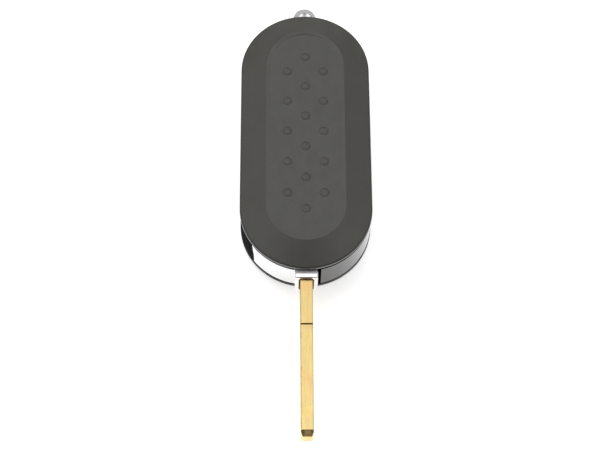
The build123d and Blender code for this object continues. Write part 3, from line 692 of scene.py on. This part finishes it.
def solder_pads():
    """Tinned lands under the legs of the chips and the ends of the small parts."""
    mesh = bmesh.new()
    thick, bevel = 0.03 * MM, 0.01 * MM
    past_end, past_side, strip = 0.35 * MM, 0.1 * MM, 1.0 * MM
    for node in ("capacitor_1", "capacitor_2", "capacitor_3", "capacitor_4"):
        low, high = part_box(node)
        for end in (low[0], high[0]):
            corner = (end - past_end, low[1] - past_side, low[2])
            add_block(mesh, corner, (end + past_end, high[1] + past_side, low[2] + thick), bevel)
    for node in ("microcontroller", "transponder_chip"):
        low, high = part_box(node)
        for start in (low[1] - strip, high[1]):
            add_block(mesh, (low[0], start, low[2]), (high[0], start + strip, low[2] + thick / 2), bevel / 2)
    add_piece("solder_lands", finished("solder_lands", mesh), looks["switch_metal"], "fob")


def key_pad(key):
    """A rubber pad under a key: a plate with a domed nub."""
    low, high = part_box(f"key_pad_{key}")
    half = (high[2] - low[2]) / 2
    corner, bevel = 1.0 * MM, 0.12 * MM
    mesh = bmesh.new()
    prism(mesh, rounded(low[0], high[0], low[1], high[1], corner), low[2], low[2] + half, bevel)
    flare = [(0, -0.1), (1.8, -0.1), (1.8, 0.0), (1.45, 0.06), (1.2, 0.2)]
    nub = [(1.1, 0.36), (1.0, 0.46), (0.85, 0.5), (0, 0.5)]
    rim = [(r * MM, z * MM) for r, z in flare + nub]
    turned(mesh, rim, centre(low, high, low[2] + half), steps=48)
    data = finished(f"pad_dome_{key}", mesh)
    pad = add_piece(f"pad_dome_{key}", data, looks["pad_rubber"], "fob")
    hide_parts(f"key_pad_{key}")
    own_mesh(pad)


def push_spring():
    """The release button's coil spring, with closed ends."""
    low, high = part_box("button_spring")
    wire = 0.45 * MM
    closed_pitch = 1.02 * wire
    radius = (high[0] - low[0] - wire) / 2
    turns, closed, steps, sides = 5.5, 0.9, 30, 12
    climb = (high[2] - low[2] - wire - 2 * closed * closed_pitch) / (turns - 2 * closed)
    mesh = bmesh.new()
    rings = []
    for index in range(int(turns * steps) + 1):
        turn = index / steps
        first, last = min(turn, closed), max(turn - turns + closed, 0)
        level = low[2] + wire / 2 + (first + last) * closed_pitch + (turn - first - last) * climb
        out = Vector((math.cos(math.tau * turn), math.sin(math.tau * turn), 0))
        middle = centre(low, high, level) + out * radius
        angles = [math.tau * side / sides for side in range(sides)]
        ring = [middle + (out * math.cos(a) + Vector((0, 0, math.sin(a)))) * wire / 2 for a in angles]
        rings.append([mesh.verts.new(spot) for spot in ring])
    for before, after in zip(rings, rings[1:]):
        for side in range(sides):
            mesh.faces.new((before[side - 1], before[side], after[side], after[side - 1]))
    mesh.faces.new(rings[0])
    mesh.faces.new(rings[-1])
    data = finished("push_coil", mesh, sharp=50)
    spring = add_piece("push_coil", data, looks["spring_steel"], "fob")
    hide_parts("button_spring")
    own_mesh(spring)


icon("lock", padlock(0, shift=0, reach=0.7))
icon("unlock", padlock(-1.0, shift=2.1, reach=0.9))
icon("boot", open_boot())
coin_cell()
coil_winding()
chip_legs("microcontroller", count=8, pitch=0.75 * MM)
chip_legs("transponder_chip", count=4, pitch=0.9 * MM)
solder_pads()
for key in ("lock", "unlock", "boot"):
    key_pad(key)
push_spring()


# Floor, light and camera
def plain_floor(half_size=6, gap=0.02 * MM, glow_strength=0.6):
    """A wide pale floor that keeps the object's shadow and looks white to the camera and in reflections."""
    mesh = bmesh.new()
    bmesh.ops.create_grid(mesh, x_segments=1, y_segments=1, size=half_size)
    data = bpy.data.meshes.new("floor")
    mesh.to_mesh(data)
    mesh.free()
    floor = bpy.data.objects.new("floor", data)
    floor.location.z = -gap
    bpy.context.scene.collection.objects.link(floor)
    look = Look("floor_white", grey(0.85), roughness=0.9, Specular_IOR_Level=0.0)
    glow = look.tree.nodes.new("ShaderNodeEmission")
    path = look.tree.nodes.new("ShaderNodeLightPath")
    seen = look.math("MAXIMUM", path.outputs["Is Camera Ray"], path.outputs["Is Glossy Ray"])
    seen = look.math("MAXIMUM", seen, path.outputs["Is Transmission Ray"])
    look.link(look.times(seen, glow_strength), glow.inputs["Strength"])
    total = look.tree.nodes.new("ShaderNodeAddShader")
    look.link(look.shader.outputs[0], total.inputs[0])
    look.link(glow.outputs[0], total.inputs[1])
    look.link(total.outputs[0], look.tree.nodes["Material Output"].inputs["Surface"])
    floor.data.materials.append(look.material)


def choice(tree, factor, unless, when):
    """A shader node that takes one shader unless the factor is 1, and the other when it is."""
    mix = tree.nodes.new("ShaderNodeMixShader")
    tree.links.new(factor, mix.inputs[0])
    tree.links.new(unless.outputs[0], mix.inputs[1])
    tree.links.new(when.outputs[0], mix.inputs[2])
    return mix


def surroundings():
    """White for the camera, brighter with height in reflections, and a soft ambient light."""
    world = bpy.data.worlds.new("studio")
    bpy.context.scene.world = world
    world.use_nodes = True
    tree = world.node_tree
    white = tree.nodes["Background"]
    overhead = tree.nodes.new("ShaderNodeBackground")
    ambient = tree.nodes.new("ShaderNodeBackground")
    ambient.inputs["Strength"].default_value = 0.5
    for shade in (white, overhead, ambient):
        shade.inputs["Color"].default_value = (1, 1, 1, 1)
    direction = tree.nodes.new("ShaderNodeTexCoord")
    parts = tree.nodes.new("ShaderNodeSeparateXYZ")
    climb = tree.nodes.new("ShaderNodeMapRange")
    dim_below, bright_above, dim, bright = 0.35, 0.95, 0.06, 1.2
    for socket, number in zip(climb.inputs[1:5], (dim_below, bright_above, dim, bright)):
        socket.default_value = number
    tree.links.new(direction.outputs["Generated"], parts.inputs[0])
    tree.links.new(parts.outputs["Z"], climb.inputs[0])
    tree.links.new(climb.outputs[0], overhead.inputs["Strength"])
    path = tree.nodes.new("ShaderNodeLightPath")
    seen = tree.nodes.new("ShaderNodeMath")
    seen.operation = "MAXIMUM"
    tree.links.new(path.outputs["Is Camera Ray"], seen.inputs[0])
    tree.links.new(path.outputs["Is Transmission Ray"], seen.inputs[1])
    unseen = choice(tree, path.outputs["Is Glossy Ray"], ambient, overhead)
    final = choice(tree, seen.outputs[0], unseen, white)
    tree.links.new(final.outputs[0], tree.nodes["World Output"].inputs["Surface"])


def soft_box(name, place, aim, side, power):
    """A square area lamp that looks at a point."""
    data = bpy.data.lights.new(name, "AREA")
    data.shape = "SQUARE"
    data.size = side
    data.energy = power
    lamp = bpy.data.objects.new(name, data)
    lamp.location = place
    lamp.rotation_euler = (Vector(aim) - Vector(place)).to_track_quat("-Z", "Y").to_euler()
    lamp.visible_glossy = False
    bpy.context.scene.collection.objects.link(lamp)


def dark_card(name, glow, half_width, low_edge, high_edge):
    """A dark screen that only reflections show, between two level edges, each given as (y, z)."""
    corners = [(x * half_width, *low_edge) for x in (-1, 1)] + [(x * half_width, *high_edge) for x in (1, -1)]
    data = bpy.data.meshes.new(name)
    data.from_pydata(corners, [], [(0, 1, 2, 3)])
    card = bpy.data.objects.new(name, data)
    look = Look("card_grey", grey(0.02), roughness=0.8, Emission_Color=(1, 1, 1, 1), Emission_Strength=glow)
    data.materials.append(look.material)
    card.visible_camera = False
    card.visible_diffuse = False
    card.visible_shadow = False
    bpy.context.scene.collection.objects.link(card)


def aimed_camera(target, distance, down, turn, roll, focal_px, width_px):
    """A camera that looks down at a target, turned about the upright axis and rolled, in degrees."""
    down, turn, roll = (math.radians(angle) for angle in (down, turn, roll))
    forward = Vector((math.sin(turn) * math.cos(down), math.cos(turn) * math.cos(down), -math.sin(down)))
    right = Vector((math.cos(turn), -math.sin(turn), 0))
    up = right.cross(forward)
    right, up = right * math.cos(roll) + up * math.sin(roll), up * math.cos(roll) - right * math.sin(roll)
    data = bpy.data.cameras.new("camera")
    data.sensor_width = 36
    data.lens = data.sensor_width * focal_px / width_px
    data.clip_start = 0.01
    camera = bpy.data.objects.new("camera", data)
    place = Matrix.Translation(target - forward * distance)
    camera.matrix_world = place @ Matrix((right, up, -forward)).transposed().to_4x4()
    bpy.context.scene.collection.objects.link(camera)
    return camera


plain_floor()
surroundings()
soft_box("key_light", (-0.15, 0.5, 0.8), aim=(0, -0.02, 0), side=1.0, power=6.1)
dark_card("front_card", glow=0.05, half_width=1.1, low_edge=(-1.05, 0.05), high_edge=(-0.95, 0.9))
dark_card("upper_card", glow=0.12, half_width=0.4, low_edge=(-0.95, 0.9), high_edge=(-0.05, 1.3))

# The camera looks from the front at a point over the near end of the case
bpy.context.scene.camera = aimed_camera(
    Vector((-0.07, -27.17, 14.05)) * MM,
    distance=396.086 * MM,
    down=65.377,
    turn=2.173,
    roll=2.0,
    focal_px=1517.37,
    width_px=612,
)
bpy.context.scene.view_settings.view_transform = "Standard"
